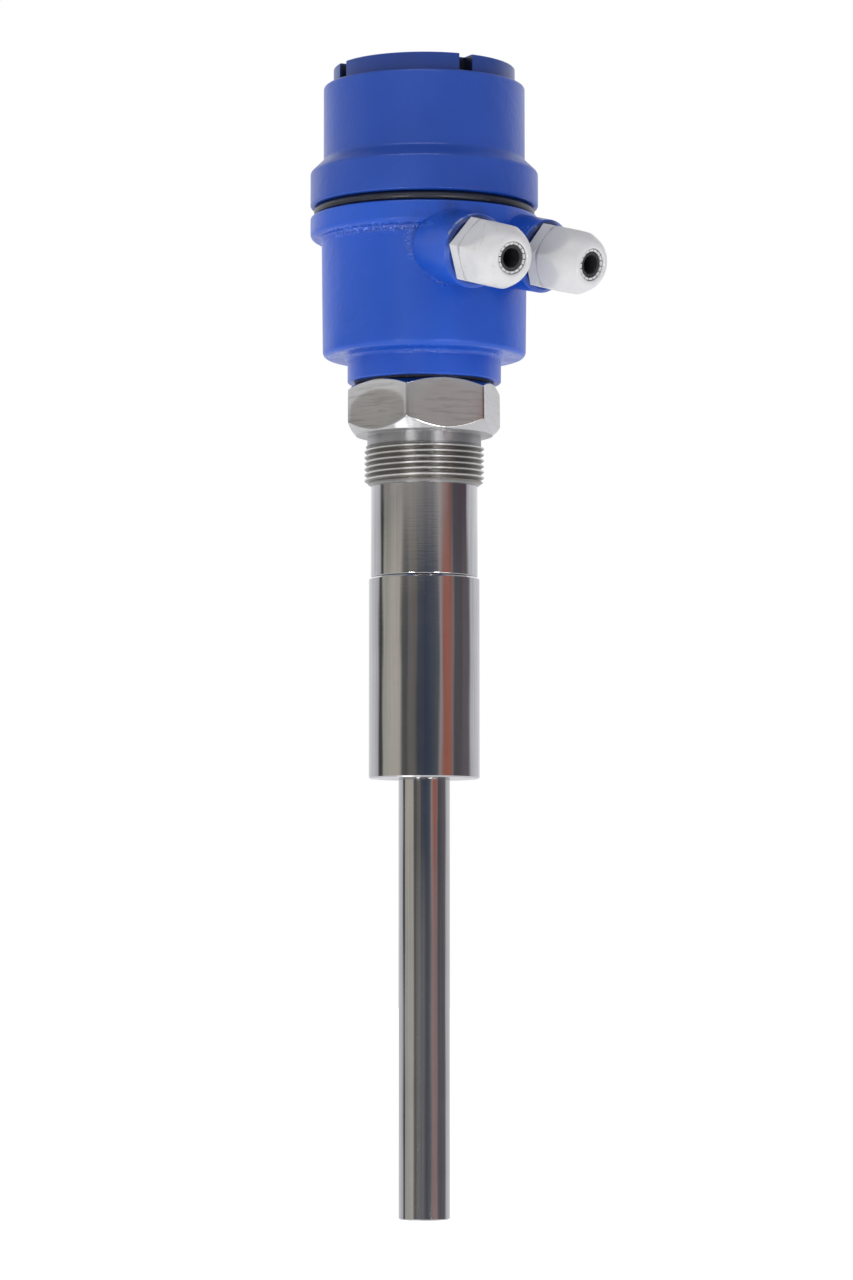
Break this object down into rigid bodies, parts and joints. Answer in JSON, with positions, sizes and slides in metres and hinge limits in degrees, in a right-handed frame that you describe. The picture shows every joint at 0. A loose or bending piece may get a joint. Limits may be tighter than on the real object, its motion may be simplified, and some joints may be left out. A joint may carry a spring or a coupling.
{
  "type": "vibrating rod level switch",
  "caption": "Point level switch with a screw-on cover, a cylindrical cast head, angled cable glands, a threaded hexagon connector, a stepped sleeve and a slim vibrating rod.",
  "frame": {"origin": "on the axis, at the top end of the process thread, where the relief under the hexagon begins", "axes": "+Z along the axis from the rod up to the cover; the cable entries point towards -Y and +X"},
  "size_m": [0.117, 0.1241, 0.4576],
  "materials": {
    "painted_casting": "blue enamel with a fine orange peel over an aluminium casting",
    "polished_steel": "polished stainless steel, turned",
    "seal_rubber": "black moulded rubber",
    "gland_nylon": "light grey nylon, slightly stained",
    "black_rubber": "black rubber insert",
    "chassis_plastic": "dark grey moulded plastic",
    "board_laminate": "green lacquered laminate",
    "terminal_plastic": "green moulded plastic",
    "zinc_screws": "zinc plated steel",
    "relay_case": "black moulded case",
    "potted_block": "black potting compound",
    "capacitor_sleeve": "dark blue shrink sleeve over aluminium",
    "lamp_lens": "clear green lens",
    "knob_plastic": "amber moulded plastic",
    "switch_plastic": "blue moulded plastic",
    "slider_plastic": "white moulded plastic",
    "brass_plate": "brass sheet",
    "piezo_ceramic": "fired ceramic with silvered faces",
    "insulator": "white insulator",
    "lead_insulation": "red lead insulation"
  },
  "bodies": {
    "head": {"housing": "painted_casting", "neck_gasket": "seal_rubber", "process_connector": "polished_steel", "lower_sleeve": "polished_steel", "rod_membrane": "polished_steel", "vibrating_rod": "polished_steel", "inner_rod": "polished_steel", "stack_insulators": "insulator", "piezo_rings": "piezo_ceramic", "stack_electrodes": "brass_plate", "clamp_nut": "zinc_screws", "sensor_leads": "lead_insulation", "lead_grommet": "seal_rubber", "lead_plug": "slider_plastic", "chassis": "chassis_plastic", "module_screws": "zinc_screws", "board_screws": "zinc_screws", "circuit_board": "board_laminate", "terminal_block": "terminal_plastic", "terminal_screws": "zinc_screws", "relay": "relay_case", "transformer": "potted_block", "capacitor": "capacitor_sleeve", "status_led": "lamp_lens", "trimmer_base": "switch_plastic", "switch_body": "switch_plastic", "earth_washer": "brass_plate", "earth_screw": "zinc_screws", "gland_gasket_1": "seal_rubber", "gland_body_1": "gland_nylon", "gland_gasket_2": "seal_rubber", "gland_body_2": "gland_nylon"},
    "seal_ring": {"cover_seal": "seal_rubber"},
    "cover": {"cover": "painted_casting"},
    "trimmer": {"trimmer_knob": "knob_plastic"},
    "mode_slider": {"switch_slider": "slider_plastic"},
    "gland_seal_1": {"gland_seal_1": "black_rubber"},
    "gland_nut_1": {"gland_nut_1": "gland_nylon"},
    "gland_seal_2": {"gland_seal_2": "black_rubber"},
    "gland_nut_2": {"gland_nut_2": "gland_nylon"}
  },
  "joints": [
    {"name": "cover_lift", "type": "slide", "parent": "head", "child": "seal_ring", "axis": [0, 0, 1], "range_m": [0, 0.01001]},
    {"name": "cover_turn", "type": "hinge", "parent": "seal_ring", "child": "cover", "pos_m": [0, 0, 0.11], "axis": [0, 0, 1], "range_deg": [0, 1800]},
    {"name": "sensitivity_turn", "type": "hinge", "parent": "head", "child": "trimmer", "pos_m": [0.01976, 0.01214, 0.106], "axis": [0, 0, 1], "range_deg": [-135, 135]},
    {"name": "mode_slide", "type": "slide", "parent": "head", "child": "mode_slider", "axis": [0.7771, 0.6293, 0], "range_m": [0, 0.004]},
    {"name": "gland_1_back_off", "type": "slide", "parent": "head", "child": "gland_seal_1", "axis": [0.5355, -0.8091, -0.2419], "range_m": [0, 0.0045]},
    {"name": "gland_1_nut_turn", "type": "hinge", "parent": "gland_seal_1", "child": "gland_nut_1", "pos_m": [0.02911, -0.06657, 0.06598], "axis": [0.5355, -0.8091, -0.2419], "range_deg": [0, 1080]},
    {"name": "gland_2_back_off", "type": "slide", "parent": "head", "child": "gland_seal_2", "axis": [0.6861, -0.6861, -0.2419], "range_m": [0, 0.0045]},
    {"name": "gland_2_nut_turn", "type": "hinge", "parent": "gland_seal_2", "child": "gland_nut_2", "pos_m": [0.05916, -0.04223, 0.06743], "axis": [0.6861, -0.6861, -0.2419], "range_deg": [0, 1080]}
  ],
  "couplings": [
    {"joint": "cover_lift", "follows": "cover_turn", "m_per_rad": 0.00031831},
    {"joint": "gland_1_back_off", "follows": "gland_1_nut_turn", "m_per_rad": 0.00023873},
    {"joint": "gland_2_back_off", "follows": "gland_2_nut_turn", "m_per_rad": 0.00023873}
  ]
}
